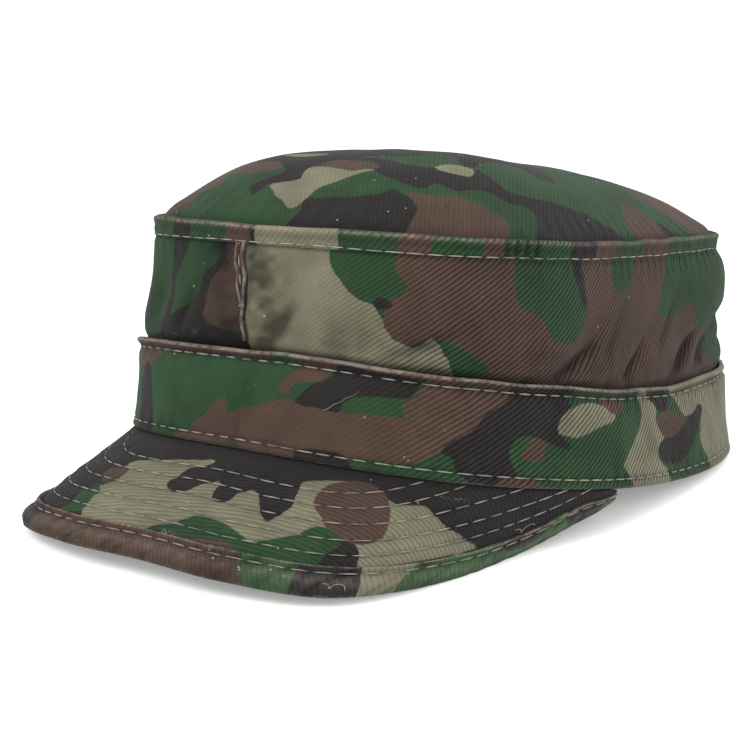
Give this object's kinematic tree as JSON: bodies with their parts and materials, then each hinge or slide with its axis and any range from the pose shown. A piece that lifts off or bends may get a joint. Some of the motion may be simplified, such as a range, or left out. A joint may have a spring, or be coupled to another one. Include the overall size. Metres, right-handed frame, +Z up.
{
  "type": "camouflage patrol cap",
  "caption": "Soft twill patrol cap with a domed oval top, seamed sides, a broad rolled-lip band and a short stitched peak with a bound edge, resting on its hem.",
  "frame": {"origin": "centre of the cap's base on the surface that it rests on", "axes": "+Z up, front of the cap and its peak towards -Y, wearer's left towards +X"},
  "size_m": [0.1652, 0.2469, 0.1041],
  "materials": {
    "twill": "matte four-colour woodland twill",
    "welt": "worn rolled twill seam",
    "band": "doubled twill with stitched edges",
    "peak": "quilted twill with stitch rows",
    "binding": "worn rolled twill edge",
    "thread": "pale grey sewing thread"
  },
  "bodies": {
    "root": {"crown_top": "twill", "side_panel_left": "twill", "side_panel_right": "twill", "front_seam": "twill", "back_seam": "twill", "top_welt": "welt", "band": "band", "peak": "peak", "peak_binding": "binding"}
  },
  "joints": []
}
